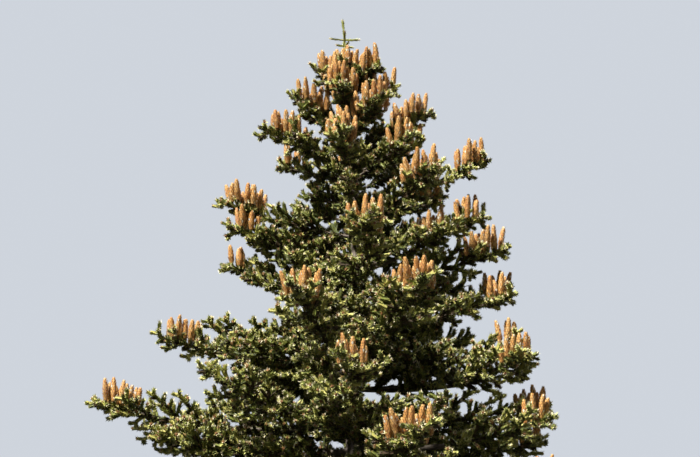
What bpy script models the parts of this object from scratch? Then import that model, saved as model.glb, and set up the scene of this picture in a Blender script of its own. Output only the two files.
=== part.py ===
"""A Greek fir in cone, 8.5 m tall, as separate solids in metres, +Z up.

The trunk stands on the origin, cut flat at ground level. It runs whole to the foot of its leading
shoot. The boughs leave it in tiers near the top and one below the other in a spiral further down.
The lowest ones have a bare limb each, and their foliage starts where the limb ends. The foliage of
the others starts at the trunk. A mass of foliage is one solid: a stem along the bough that widens
into a dense core, twigs that branch from it by a seeded rule, sprays of needles on the core and the
twigs, and the upright seed cones near the bough's tip.
"""

import math
import random
from dataclasses import dataclass

import bmesh
import bpy
import numpy as np
from mathutils import Vector

# The whole tree
TREE_HEIGHT = 8.5
TRUNK_TOP = 8.20  # where the leading shoot takes over
TIP_RADIUS = 0.006
FOOT_RADIUS = 0.124  # at the ground, without the root flare
TAPER = 0.86  # 1 is a straight taper, less keeps the trunk thick for longer
FLARE_HEIGHT = 0.55  # the root flare fades out at this height
FLARE_RADIUS = 0.075  # what the flare adds to the trunk's radius at the ground
ROOT_RIDGES = 5
TRUNK_SIDES = 14
TRUNK_RINGS = 15
LEAN = 0.07  # how far the trunk leans to the right halfway up
LEADER_BEND = 0.102  # how far the top bends back to the left
BEND_START = 0.80  # share of the height where that bend begins

# The crown: reach of a bough whose tip is a given depth below the top of the tree
WIDEST_REACH = 2.9
REACH_DEPTH = 3.7

# Boughs
STEEPEST_RISE = 45.0  # degrees above level, right at the top
RISE_FADE = 1.3  # depth in which the rise falls to a third
LOW_DROOP = 4.0  # degrees that the lowest boughs leave the trunk below level
SAG_TOP = 0.03  # sag of a bough's middle, as a share of its reach
SAG_LOW = 0.10
BOUGH_THICKNESS = 0.015  # radius at the trunk for each metre of reach
BOUGH_TIP_RADIUS = 0.004
LIMB_SHARE = 0.30  # bare share of the lowest boughs
LIMB_SIDES = 8
LIMB_RINGS = 6
FOOT_SWELL = 1.35  # how much thicker a bough is where it leaves the trunk
JOINT_GAP = 0.0003  # between a stem and the limb or trunk that carries it

# Foliage
FAN_TOP = 0.30  # half width of a bough's foliage as a share of its reach, at the tree's top
FAN_LOW = 0.39  # the same at FAN_DEPTH below the top, and further down
FAN_DEPTH = 5.0
FAN_WIDEST = 0.38  # share of the bough where its foliage is widest
CLEARANCE = 0.005  # between two masses of foliage
BARE_NECK = 0.08  # share of a bough between the trunk and its dense core
CORE_FAN = 0.50  # half width of a core near the trunk, as a share of the distance to the axis
CORE_WIDTH = 0.14  # half width further out, as a share of the reach
CORE_THICKNESS = 0.19  # half thickness of a long bough's core
CORE_END = 0.93  # share of the bough where the core's last ring is
CORE_RINGS = 5
CORE_SIDES = 6
CORE_TOOTH = 0.80  # every second ring of a core is this much narrower
TWIG_ANGLE = 50.0  # degrees between a twig and the stem that carries it
LONG_TWIG = 0.62  # a side twig longer than this forks, and a shorter one is a single spray
SPRAY_STEP = 0.37  # along a bough, between the sprays that stand up from its back
SPRAY_WIDTH = 0.38  # width of a spray as a share of its length
SPRAY_THICKNESS = 0.62  # thickness as a share of its width
SEED = 38

# Seed cones
CONE_LENGTH = 0.150
CONE_RADIUS = 0.026
CONE_PROFILE = ((0.0, 0.55), (0.32, 1.0), (0.78, 0.92))  # share of the length, of the radius
CONE_SIDES = 5
CONE_FIRST = 0.94  # share of the bough where the outermost cone stands
CONE_STRETCH = 0.26  # share of the bough that the clump takes up

# The leading shoot and its whorls: (share of its height, length of the shoots, turn in degrees)
LEADER_RADIUS = 0.015
LEADER_NECK = 0.008
WHORLS = ((0.52, 0.115, 9.0), (0.26, 0.085, 108.0))
WHORL_SHOOTS = 4

BARK = ("fir_bark", (0.20, 0.145, 0.11), 0.9)
NEEDLES = ("fir_needles", (0.13, 0.17, 0.06), 0.55)


@dataclass
class Bough:
    """One bough by its tip: bearing in degrees from +X towards +Y, reach from the trunk's axis."""

    name: str
    bearing: float
    reach: float
    tip_height: float
    cones: int = 0
    limb: bool = False

    def depth(self):
        return TREE_HEIGHT - self.tip_height


# The boughs of the coning top, tier by tier from the leading shoot down. "Front" is -Y.
TOP_BOUGHS = (
    Bough("t1_left", 190, 0.25, 8.11, 2),
    Bough("t1_front", 256, 0.38, 7.92, 3),
    Bough("t1_right", 343, 0.24, 8.13, 2),
    Bough("t2_right", 4, 0.34, 7.98, 1),
    Bough("t2_front_right", 299, 0.45, 7.77, 3),
    Bough("t2_left", 190, 0.42, 7.92, 3),
    Bough("t2_back", 95, 0.45, 7.88, 2),
    Bough("t3_front", 263, 0.73, 7.29, 3),
    Bough("t3_right", 350, 0.58, 7.76, 3),
    Bough("t3_left", 186, 0.66, 7.64, 3),
    Bough("t3_back_right", 52, 0.66, 7.58, 2),
    Bough("t4_front_right", 302, 0.90, 7.08, 4),
    Bough("t4_right", 354, 0.97, 7.42, 3),
    Bough("t4_back_left", 144, 0.74, 7.54, 2),
    Bough("t4_back", 82, 0.95, 7.20, 2),
    Bough("t5_left", 184, 0.96, 7.08, 4),
    Bough("t5_front", 272, 1.20, 6.52, 4),
    Bough("t5_right", 10, 0.92, 7.05, 3),
    Bough("t5_back", 112, 1.10, 6.85, 3),
    Bough("t6_right", 350, 1.06, 6.70, 3),
    Bough("t6_left", 174, 0.94, 6.66, 1),
    Bough("t6_front_right", 285, 1.42, 5.99, 4),
    Bough("t6_front_left", 255, 1.44, 5.94, 3),
    Bough("t6_back", 65, 1.28, 6.45, 2),
    Bough("t7_right", 8, 1.12, 6.46, 3),
    Bough("t7_left", 179, 1.38, 6.12, 4),
    Bough("t7_front_right", 340, 1.30, 5.84, 3),
    Bough("t7_front_left", 230, 1.46, 5.53, 0),
    Bough("t7_back_left", 125, 1.48, 6.05, 3),
    Bough("t8_left", 186, 1.77, 5.60, 4),
    Bough("t8_right", 20, 1.45, 5.70, 2),
    Bough("t8_front", 268, 1.62, 5.44, 4),
    Bough("t8_front_right", 284, 1.74, 5.06, 4),
    Bough("t8_back", 88, 1.66, 5.50, 3),
)

# The lower crown follows a rule: each bough is a little lower than the last, on another side.
LOW_BOUGHS = 20
LOW_WITH_LIMBS = 4
LOW_WITH_CONES = 6
LOW_TOP_TIP = 4.80
LOW_BOTTOM_TIP = 1.55
LOW_FIRST_BEARING = 214.0
LOW_TURN = 137.5
SIDES = ("right", "back_right", "back", "back_left", "left", "front_left", "front", "front_right")


def crown_reach(depth):
    """Reach of the crown at a depth below the tree's top: steep at the top, fuller further down."""
    return WIDEST_REACH * (1 - math.exp(-depth / REACH_DEPTH))


def low_boughs(rng):
    """The boughs of the lower crown, from its highest to its lowest."""
    boughs = []
    for i in range(LOW_BOUGHS):
        height = LOW_TOP_TIP + (LOW_BOTTOM_TIP - LOW_TOP_TIP) * i / (LOW_BOUGHS - 1)
        bearing = (LOW_FIRST_BEARING + i * LOW_TURN + rng.uniform(-5, 5)) % 360
        reach = crown_reach(TREE_HEIGHT - height) * rng.uniform(0.94, 1.02)
        name = f"low{i + 1:02d}_{SIDES[round(bearing / 45) % 8]}"
        cones = 2 if i < LOW_WITH_CONES else 0
        boughs.append(Bough(name, bearing, reach, height, cones, i >= LOW_BOUGHS - LOW_WITH_LIMBS))
    return boughs


def trunk_centre(height):
    """Centre line of the trunk: a slight lean to the right, and the top bent back to the left."""
    share = height / TREE_HEIGHT
    lean = LEAN * math.sin(0.5 * math.pi * min(share, 1.0) ** 1.6)
    bend = LEADER_BEND * max(0.0, (share - BEND_START) / (1 - BEND_START)) ** 1.5
    return Vector((lean - bend, 0.0, height))


def trunk_radius(height):
    """Radius of the trunk without its root flare: nearly straight taper, slim at the top."""
    share = 1 - height / TREE_HEIGHT
    return TIP_RADIUS + (FOOT_RADIUS - TIP_RADIUS) * share**TAPER


def trunk_section(height, angle):
    """Radius of the trunk in one direction, with the ridges that run out into the roots."""
    foot = max(0.0, 1 - height / FLARE_HEIGHT) ** 2
    ridge = 0.5 + 0.5 * math.cos(ROOT_RIDGES * angle)
    return trunk_radius(height) + foot * FLARE_RADIUS * (0.45 + 0.55 * ridge)


def trunk_rings():
    """The trunk's cross-sections as (height, points), closest together at the foot."""
    rings = []
    for i in range(TRUNK_RINGS):
        height = TRUNK_TOP * (i / (TRUNK_RINGS - 1)) ** 1.45
        points = []
        for k in range(TRUNK_SIDES):
            angle = 2 * math.pi * k / TRUNK_SIDES
            outward = Vector((math.cos(angle), math.sin(angle), 0.0))
            points.append(trunk_centre(height) + outward * trunk_section(height, angle))
        rings.append((height, points))
    return rings


def trunk_outline(height):
    """Points of the built trunk's outline at any height, between two of its rings."""
    rings = trunk_rings()
    for (low, low_points), (high, high_points) in zip(rings, rings[1:]):
        if height <= high:
            share = (height - low) / (high - low)
            return [a.lerp(b, share) for a, b in zip(low_points, high_points)]
    return rings[-1][1]


def trunk_face(foot, outward, side, half):
    """How far the trunk's surface stands out from foot, within half to each side and up or down."""
    furthest = 0.0
    for step in (-1.0, -0.5, 0.0, 0.5, 1.0):
        points = trunk_outline(foot.z + step * half)
        for a, b in zip(points, points[1:] + points[:1]):
            for k in range(24):
                point = a.lerp(b, k / 24) - foot
                if abs(point.dot(side)) <= half:
                    furthest = max(furthest, point.dot(outward))
    return furthest


class BoughPath:
    """The line of a bough from the trunk's axis (share 0) to its tip (share 1)."""

    def __init__(self, bough):
        bearing = math.radians(bough.bearing)
        depth = bough.depth()
        rise = STEEPEST_RISE * math.exp(-depth / RISE_FADE) - LOW_DROOP * depth / TREE_HEIGHT
        low = min(1.0, depth / TREE_HEIGHT)
        self.outward = Vector((math.cos(bearing), math.sin(bearing), 0.0))
        self.side = Vector((-math.sin(bearing), math.cos(bearing), 0.0))
        self.reach = bough.reach
        self.foot_height = bough.tip_height - bough.reach * math.tan(math.radians(rise))
        self.climb = bough.tip_height - self.foot_height
        self.sag = bough.reach * (SAG_TOP + (SAG_LOW - SAG_TOP) * low)
        self.foot = trunk_centre(self.foot_height)
        half = FOOT_SWELL * limb_radius(bough, 0.0)
        self.start = 0.0
        for _ in range(3):
            level = Vector((self.foot.x, self.foot.y, self.at(self.start).z))
            face = trunk_face(level, self.outward, self.side, half)
            self.start = (face + JOINT_GAP) / bough.reach

    def at(self, share):
        drop = 4 * self.sag * share * (1 - share)
        level = self.foot + self.outward * (self.reach * share)
        return Vector((level.x, level.y, self.foot_height + self.climb * share - drop))

    def forward(self, share):
        return (self.at(share + 0.01) - self.at(share - 0.01)).normalized()

    def square(self, share):
        """(across, up) square to the bough. Where it leaves the trunk, they are level and upright."""
        if share <= self.start:
            return self.side, Vector((0.0, 0.0, 1.0))
        return frame_of(self.forward(share), self.side)


class Space:
    """What the tree has filled so far, as capsules, so that a new piece can be kept clear of it."""

    def __init__(self):
        self.starts, self.ends, self.radii, self.owners = [], [], [], []

    def add(self, owner, start, end, radius):
        self.starts.append(tuple(start))
        self.ends.append(tuple(end))
        self.radii.append(radius)
        self.owners.append(owner)

    def gap(self, start, end, radius, owner=None, own=False):
        """Smallest gap from a capsule to what others own or, with own=True, to what owner has."""
        keep = [i for i, o in enumerate(self.owners) if (o == owner) == own]
        if not keep:
            return math.inf
        a, b = np.array(self.starts)[keep], np.array(self.ends)[keep]
        radii = np.array(self.radii)[keep]
        along = b - a
        length2 = np.maximum((along**2).sum(1), 1e-12)
        nearest = math.inf
        for share in np.linspace(0.0, 1.0, 9):
            point = np.array(start) * (1 - share) + np.array(end) * share
            t = np.clip(((point - a) * along).sum(1) / length2, 0, 1)
            away = np.linalg.norm(point - a - along * t[:, None], axis=1) - radii
            nearest = min(nearest, float(away.min()))
        return nearest - radius


def material(name, colour, roughness):
    found = bpy.data.materials.get(name)
    if found:
        return found
    made = bpy.data.materials.new(name)
    made.use_nodes = True
    shader = made.node_tree.nodes["Principled BSDF"]
    shader.inputs["Base Color"].default_value = (*colour, 1.0)
    shader.inputs["Roughness"].default_value = roughness
    shader.inputs["Metallic"].default_value = 0.0
    return made


def new_object(name, mesh, finish):
    mesh.materials.append(material(*finish))
    made = bpy.data.objects.new(name, mesh)
    bpy.context.scene.collection.objects.link(made)
    return made


def skin(rings, tip=None):
    """Mesh of a limb: rings of points bridged in turn, a flat cap at the foot, and a cap or a tip."""
    form = bmesh.new()
    loops = [[form.verts.new(point) for point in ring] for ring in rings]
    count = len(loops[0])
    form.faces.new(loops[0][::-1])
    for low, high in zip(loops, loops[1:]):
        for i in range(count):
            j = (i + 1) % count
            form.faces.new((low[i], low[j], high[j], high[i]))
    if tip is None:
        form.faces.new(loops[-1])
    else:
        point = form.verts.new(tip)
        for i in range(count):
            form.faces.new((loops[-1][i], loops[-1][(i + 1) % count], point))
    mesh = bpy.data.meshes.new("skin")
    form.to_mesh(mesh)
    form.free()
    return mesh


def ring(centre, across, up, half_width, half_thickness, sides):
    """An oval ring of points that runs the right way round for a limb along across x up."""
    angles = [2 * math.pi * i / sides for i in range(sides)]
    return [
        centre + across * (half_width * math.cos(a)) + up * (half_thickness * math.sin(a))
        for a in angles
    ]


def frame_of(forward, across_hint):
    """(across, up) square to forward, with across x up = forward and across near the hint."""
    up = forward.cross(across_hint).normalized()
    return up.cross(forward).normalized(), up


def core_rods(path, low, high, wide, thick):
    """(start, end, radius) of three rods side by side that fill a stretch of a flat core."""
    spread = path.side * max(0.0, wide - thick)
    a, b = path.at(low), path.at(high)
    return [(a + spread * place, b + spread * place, thick) for place in (-1, 0, 1)]


class Mass:
    """One mass of foliage: its pieces are gathered as meshes, and then joined into one solid."""

    def __init__(self, name, space):
        self.name = name
        self.space = space
        self.meshes = []
        self.core = []

    def stem(self, path, neck, stations):
        """Stem and core in one: (share, half width, half thickness) along the path, to its tip.

        Where another mass is too close, the core is slimmer.
        """
        step = 0.5 * (stations[1][0] - stations[0][0])
        for share, wide, thick in stations:
            for slimmer in (1.0, 0.85, 0.7, 0.55, 0.4, 0.25):
                half = (wide * slimmer, thick * slimmer)
                rods = core_rods(path, share - step, min(1.0, share + step), *half)
                if all(self.space.gap(*rod, self.name) > CLEARANCE for rod in rods):
                    break
            self.core.append((share, *half))
        for low, high in zip(self.core, self.core[1:]):
            half = [0.5 * (a + b) for a, b in zip(low[1:], high[1:])]
            for rod in core_rods(path, low[0], high[0], *half):
                self.space.add(self.name, *rod)
        joints = [path.at(share) for share, _, _ in (*neck, self.core[0])]
        for a, b in zip(joints, joints[1:]):
            self.space.add(self.name, a, b, neck[0][1])
        rings = [
            ring(path.at(share), *path.square(share), wide, thick, CORE_SIDES)
            for share, wide, thick in (*neck, *self.core)
        ]
        self.meshes.append(skin(rings, path.at(1.0)))

    def half(self, share):
        """(half width, half thickness) of the core as built."""
        shares, wides, thicks = zip(*self.core)
        return float(np.interp(share, shares, wides)), float(np.interp(share, shares, thicks))

    def spindle(self, start, end, half_width, half_thickness, across_hint):
        """A spray of needles: four-sided, pointed at both ends, fullest past its middle."""
        forward = (end - start).normalized()
        across, up = frame_of(forward, across_hint)
        middle = start.lerp(end, 0.58)
        loop = ring(middle, across, up, half_width, half_thickness, 4)
        form = bmesh.new()
        belt = [form.verts.new(point) for point in loop]
        back, front = form.verts.new(start), form.verts.new(end)
        for i in range(4):
            j = (i + 1) % 4
            form.faces.new((belt[j], belt[i], back))
            form.faces.new((belt[i], belt[j], front))
        mesh = bpy.data.meshes.new("spray")
        form.to_mesh(mesh)
        form.free()
        self.meshes.append(mesh)

    def fits(self, start, end, radius, own_share):
        """Whether a piece stays clear of every other mass and limb, and mostly of this mass too."""
        outer = start.lerp(end, 0.6)
        if self.space.gap(start, end, radius + CLEARANCE, self.name) < 0:
            return False
        return self.space.gap(outer, end, radius * own_share, self.name, own=True) > 0

    def spray(self, start, direction, length, across_hint, own_share=0.6):
        """A spray on the stem or a twig, or a shorter one, or none where there is no room."""
        for shorter in (1.0, 0.75, 0.55):
            end = start + direction * (length * shorter)
            half = 0.5 * SPRAY_WIDTH * length * shorter
            if self.fits(start, end, half, own_share):
                self.spindle(start, end, half, half * SPRAY_THICKNESS, across_hint)
                self.space.add(self.name, start.lerp(end, 0.3), end.lerp(start, 0.2), half)
                return end
        return None

    def twig(self, start, direction, length, foot_radius, across_hint):
        """A three-sided twig that tapers to its end, or a shorter one. Returns where it ends."""
        for shorter in (1.0, 0.8, 0.6, 0.45):
            end = start + direction * (length * shorter)
            if self.space.gap(start, end, foot_radius + CLEARANCE, self.name) < 0:
                continue
            across, up = frame_of(direction, across_hint)
            rings = [
                ring(start, across, up, foot_radius, foot_radius, 3),
                ring(start.lerp(end, 0.9), across, up, foot_radius * 0.5, foot_radius * 0.5, 3),
            ]
            self.meshes.append(skin(rings, end))
            self.space.add(self.name, start.lerp(end, 0.3), end, foot_radius)
            return end
        return None

    def cone(self, foot, axis):
        """An upright seed cone: a blunt spindle whose foot is sunk in the stem or in a twig."""
        end = foot + axis * CONE_LENGTH
        if not self.fits(foot, end, CONE_RADIUS, 0.85):
            return
        across, up = frame_of(axis, Vector((1.0, 0.0, 0.0)))
        rings = [
            ring(foot.lerp(end, share), across, up, CONE_RADIUS * r, CONE_RADIUS * r, CONE_SIDES)
            for share, r in CONE_PROFILE
        ]
        self.meshes.append(skin(rings, end))
        self.space.add(self.name, foot.lerp(end, 0.3), end, CONE_RADIUS)

    def join(self):
        """Unites the pieces into one solid, which takes the mass's name."""
        body = new_object(self.name, self.meshes[0], NEEDLES)
        if len(self.meshes) > 1:
            pieces = bpy.data.collections.new("pieces")
            bpy.context.scene.collection.children.link(pieces)
            for mesh in self.meshes[1:]:
                pieces.objects.link(bpy.data.objects.new("piece", mesh))
            union = body.modifiers.new("union", "BOOLEAN")
            union.operation = "UNION"
            union.operand_type = "COLLECTION"
            union.collection = pieces
            union.solver = "EXACT"
            graph = bpy.context.evaluated_depsgraph_get()
            joined = bpy.data.meshes.new_from_object(body.evaluated_get(graph))
            body.modifiers.clear()
            for piece in list(pieces.objects):
                bpy.data.objects.remove(piece)
            bpy.data.collections.remove(pieces)
            body.data = joined
            joined.name = self.name
        keep_outer_shell(body.data)
        return body


def keep_outer_shell(mesh):
    """Drops every loose shell but the largest: scraps outside it, and hollows sealed inside it."""
    form = bmesh.new()
    form.from_mesh(mesh)
    bmesh.ops.triangulate(form, faces=form.faces)
    unseen = set(form.faces)
    shells = []
    while unseen:
        stack = [unseen.pop()]
        shell = []
        while stack:
            face = stack.pop()
            shell.append(face)
            for edge in face.edges:
                for other in edge.link_faces:
                    if other in unseen:
                        unseen.remove(other)
                        stack.append(other)
        shells.append(shell)
    shells.sort(key=lambda shell: sum(face.calc_area() for face in shell))
    spare = [face for shell in shells[:-1] for face in shell]
    bmesh.ops.delete(form, geom=spare, context="FACES")
    form.to_mesh(mesh)
    form.free()


def build_trunk(space):
    """The trunk, from its flat foot to where the leading shoot begins."""
    rings = trunk_rings()
    for (low, _), (high, _) in zip(rings, rings[1:]):
        space.add("trunk", trunk_centre(low), trunk_centre(high), trunk_section(low, 0.0))
    return new_object("trunk", skin([points for _, points in rings]), BARK)


def build_limb(bough, path, space):
    """The bare limb of a low bough, from the trunk to where its foliage starts."""
    name = "bough_" + bough.name
    rings = []
    for i in range(LIMB_RINGS):
        share = path.start + (LIMB_SHARE - path.start) * i / (LIMB_RINGS - 1)
        radius = limb_radius(bough, share) * (FOOT_SWELL if i == 0 else 1.0)
        rings.append(ring(path.at(share), *path.square(share), radius, radius, LIMB_SIDES))
    foot = limb_radius(bough, path.start)
    space.add(name, path.at(path.start), path.at(0.5 * LIMB_SHARE), foot)
    space.add(name, path.at(0.5 * LIMB_SHARE), path.at(LIMB_SHARE), foot)
    return new_object(name, skin(rings), BARK)


def limb_radius(bough, share):
    """Radius of a bough's wood along its length."""
    return BOUGH_TIP_RADIUS + BOUGH_THICKNESS * bough.reach * (1 - share) ** 0.8


def envelope(bough, share):
    """Half width of a bough's foliage: a fan, fullest near its middle, closing at the tip."""
    spread = FAN_TOP + (FAN_LOW - FAN_TOP) * min(1.0, bough.depth() / FAN_DEPTH)
    foot = min(1.0, share / FAN_WIDEST)
    return spread * bough.reach * foot * (1 - share) ** 0.55


def core_half(bough, share):
    """(half width, half thickness) of the dense core: both close towards the bough's tip."""
    closing = min(1.0, (1.04 - share) / 0.55) ** 0.8
    width = min((0.03 + CORE_WIDTH * bough.reach) * closing, CORE_FAN * bough.reach * share)
    thickness = CORE_THICKNESS * (1 - math.exp(-bough.reach / 0.75)) * closing**1.3
    return width, min(1.1 * width, thickness)


def dense_share(bough, path):
    """Share of a bough where its core begins."""
    return (LIMB_SHARE if bough.limb else path.start) + BARE_NECK


def start_mass(bough, path, space, rng):
    """The stem and core of a bough's foliage."""
    start = LIMB_SHARE + JOINT_GAP / path.reach if bough.limb else path.start
    stem = limb_radius(bough, start)
    dense = dense_share(bough, path)
    neck = [(start, stem, stem), (start + 0.5 * BARE_NECK, stem, stem)]
    stations = []
    for i in range(CORE_RINGS):
        share = dense + (CORE_END - dense) * i / (CORE_RINGS - 1)
        wide, thick = core_half(bough, share)
        tooth = rng.uniform(0.94, 1.06) * (CORE_TOOTH if i % 2 == 0 else 1.0)
        stations.append((share, wide * tooth, thick * rng.uniform(0.9, 1.05)))
    mass = Mass("foliage_" + bough.name, space)
    mass.stem(path, neck, stations)
    return mass


def add_cones(mass, bough, path, rng):
    """The seed cones of a bough stand in a clump on its upper side, close to the tip."""
    for i in range(bough.cones):
        share = CONE_FIRST - CONE_STRETCH * i / bough.cones
        half, thick = mass.half(share)
        sideways = (0.5 if i % 2 else -0.5) * half
        lean = Vector((rng.uniform(-0.06, 0.06), rng.uniform(-0.06, 0.06), 1.0))
        foot = path.at(share) + path.side * sideways + Vector((0.0, 0.0, 0.5 * thick))
        mass.cone(foot, (lean + path.side * (2.0 * sideways)).normalized())


def add_side_growth(mass, bough, path, rng):
    """Twigs to the left and right in turn, each with its sprays, from the foot to the tip."""
    dense = dense_share(bough, path)
    count = 2 if bough.reach < 0.9 else 3
    angle = math.radians(TWIG_ANGLE)
    for i in range(count):
        for side in (-1, 1):
            share = dense + (0.90 - dense) * (i + 0.2 + 0.25 * (side + 1)) / count
            forward = path.forward(share)
            lift = 0.10 + rng.uniform(-0.08, 0.12)
            direction = forward * math.cos(angle) + path.side * (side * math.sin(angle))
            direction = (direction + Vector((0.0, 0.0, lift))).normalized()
            length = envelope(bough, share) / math.sin(angle) * rng.uniform(0.90, 1.0)
            inner = 0.5 * mass.half(share)[0] / math.sin(angle)
            start = path.at(share) + direction * inner
            grow_twig(mass, start, direction, max(0.12, length - inner), forward, rng)


def grow_twig(mass, start, direction, length, forward, rng):
    """A side twig. A short one is one spray. A long one forks, and its ends are sprays."""
    level = Vector((-direction.y, direction.x, 0.0)).normalized()
    if length < LONG_TWIG:
        mass.spray(start, direction, length, level)
        return
    spray = 0.30 + 0.12 * length
    end = mass.twig(start, direction, length - 0.75 * spray, 0.016 + 0.008 * length, level)
    if end is None:
        mass.spray(start, direction, spray, level)
        return
    mass.spray(end.lerp(start, 0.15), direction, spray, level)
    turn = Vector((0.0, 0.0, rng.uniform(0.10, 0.35)))
    heading = (direction * 0.35 + forward + turn).normalized()
    mass.spray(start.lerp(end, 0.8), heading, spray * rng.uniform(0.75, 0.9), level)


def add_top_growth(mass, bough, path, rng):
    """Sprays that stand up from the bough's back, to its left and right in turn."""
    dense = dense_share(bough, path)
    length = 0.14 + 0.06 * min(1.8, bough.reach)
    count = max(1, round((0.85 - dense) * bough.reach / SPRAY_STEP))
    for i in range(count):
        share = dense + (0.85 - dense) * (i + 0.5) / count
        half, thick = mass.half(share)
        across = (0.5 if i % 2 else -0.5) * rng.uniform(0.6, 1.2)
        aim = path.forward(share) * 0.8 + Vector((0.0, 0.0, 1.0)) + path.side * across
        foot = path.at(share) + path.side * (across * half) + Vector((0.0, 0.0, 0.4 * thick))
        mass.spray(foot, aim.normalized(), length + 0.5 * thick, path.side)


def build_leading_shoot(space, rng):
    """The leading shoot on the trunk's tip, with the two whorls of short shoots at its foot."""
    foot = trunk_centre(TRUNK_TOP) + Vector((0.0, 0.0, JOINT_GAP))
    top = trunk_centre(TREE_HEIGHT)
    level = (Vector((1.0, 0.0, 0.0)), Vector((0.0, 1.0, 0.0)))
    rings = [ring(foot, *level, LEADER_NECK, LEADER_NECK, 6)]
    square = frame_of((top - foot).normalized(), level[0])
    for share, radius in ((0.16, LEADER_NECK), (0.45, 0.87 * LEADER_RADIUS), (0.90, LEADER_RADIUS)):
        rings.append(ring(foot.lerp(top, share), *square, radius, radius, 6))
    mass = Mass("leading_shoot", space)
    mass.meshes.append(skin(rings, top))
    space.add(mass.name, foot, top, LEADER_RADIUS)
    for share, length, turn in WHORLS:
        for k in range(WHORL_SHOOTS):
            angle = math.radians(turn + 360 * k / WHORL_SHOOTS)
            lift = 0.28 + rng.uniform(-0.1, 0.1)
            aim = Vector((math.cos(angle), math.sin(angle), lift)).normalized()
            across = Vector((-aim.y, aim.x, 0.0)).normalized()
            mass.spray(foot.lerp(top, share), aim, length, across, own_share=0.2)
    return mass


def clear_scene():
    for old in list(bpy.data.objects):
        bpy.data.objects.remove(old)


def main():
    clear_scene()
    rng = random.Random(SEED)
    space = Space()
    trunk = build_trunk(space)
    boughs = [*TOP_BOUGHS, *low_boughs(rng)]
    paths = {bough.name: BoughPath(bough) for bough in boughs}
    made = [trunk]
    for bough in boughs:
        if bough.limb:
            made.append(build_limb(bough, paths[bough.name], space))
    leader = build_leading_shoot(space, rng)
    masses = {b.name: start_mass(b, paths[b.name], space, rng) for b in boughs}
    for grow in (add_cones, add_side_growth, add_top_growth):
        for bough in boughs:
            grow(masses[bough.name], bough, paths[bough.name], rng)
    made.append(leader.join())
    made.extend(mass.join() for mass in masses.values())
    for solid in made:
        solid.data.shade_smooth()
        solid.data.set_sharp_from_angle(angle=math.radians(38))


main()
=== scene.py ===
import math
import random

import bpy
import numpy as np
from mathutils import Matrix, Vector


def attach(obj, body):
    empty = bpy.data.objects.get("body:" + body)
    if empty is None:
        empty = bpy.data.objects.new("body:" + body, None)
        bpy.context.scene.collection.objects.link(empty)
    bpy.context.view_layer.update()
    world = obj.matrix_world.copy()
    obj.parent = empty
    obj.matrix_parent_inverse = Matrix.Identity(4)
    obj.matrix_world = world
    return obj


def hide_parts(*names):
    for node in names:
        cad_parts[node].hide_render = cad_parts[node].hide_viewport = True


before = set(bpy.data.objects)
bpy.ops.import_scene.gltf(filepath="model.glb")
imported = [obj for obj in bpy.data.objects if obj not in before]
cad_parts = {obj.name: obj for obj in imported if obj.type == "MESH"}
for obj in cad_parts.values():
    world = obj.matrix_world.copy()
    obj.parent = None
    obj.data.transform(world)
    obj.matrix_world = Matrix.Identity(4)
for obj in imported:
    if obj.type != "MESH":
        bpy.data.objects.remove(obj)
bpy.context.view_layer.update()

# A Greek fir in cone. Trunk and boughs follow the solids' own lines, and twigs, needled
# shoots and seed cones grow on from them by the same rule, carried further. Metres, +Z up.

tree = dict(
    height=8.5,
    trunkTop=8.20,      # the leading shoot starts here
    widestReach=2.9, reachDepth=3.7,
    lean=0.07,          # the trunk leans to the right halfway up
    leaderBend=0.102,   # and its top bends back to the left
    bendStart=0.80,
    seed=38,
)
goldenTurn = 2.39996     # radians from one growth to the next round a stem
goldenShare = 0.618034   # and the share of a span from one bough to the next
skyward = np.array([0, 0, 1.0])
scene = bpy.context.scene


def unit(vectors):
    # each vector divided by its own length
    vectors = np.asarray(vectors, float)
    return vectors / np.maximum(np.linalg.norm(vectors, axis=-1, keepdims=True), 1e-9)


def squareTo(forward, hint):
    # (across, up) square to forward: up = forward x hint, across = up x forward
    up = unit(np.cross(forward, hint))
    return unit(np.cross(up, forward)), up


def trunkCentre(heights):
    # centre line: x = lean * sin(pi/2 * u^1.6) - bend * ((u - start) / (1 - start))^1.5, u = z / height
    u = np.asarray(heights, float) / tree["height"]
    bend = np.maximum(0, (u - tree["bendStart"]) / (1 - tree["bendStart"])) ** 1.5
    x = tree["lean"] * np.sin(0.5 * math.pi * np.clip(u, 0, 1) ** 1.6) - tree["leaderBend"] * bend
    return np.stack([x, np.zeros_like(x), np.asarray(heights, float)], axis=-1)


def crownReach(height):
    # a bough's reach at this height: widestReach * (1 - exp(-depth / reachDepth)), depth from the top down
    return tree["widestReach"] * (1 - np.exp(-(tree["height"] - height) / tree["reachDepth"]))


def sleeve(rings, sides):
    # quads between rings that follow one another: corners s and s + 1 of ring r, then of ring r + 1
    r, s = np.meshgrid(np.arange(rings - 1), np.arange(sides), indexing="ij")
    a, b = r * sides + s, r * sides + (s + 1) % sides
    return np.stack([a, b, b + sides, a + sides], -1).reshape(-1, 4)


def lid(sides):
    # quads across a ring with an even number of corners: i and i + 1 with their mirror images
    i = np.arange(sides // 2 - 1)
    return np.stack([i, i + 1, sides - 2 - i, sides - 1 - i], -1)


def closedSleeve(rings, sides):
    # a sleeve with a lid on its first ring, facing back, and one on its last
    return np.vstack([sleeve(rings, sides), lid(sides)[:, ::-1], lid(sides) + (rings - 1) * sides])


def newObject(name, data):
    made = bpy.data.objects.new(name, data)
    scene.collection.objects.link(made)
    return made


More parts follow.
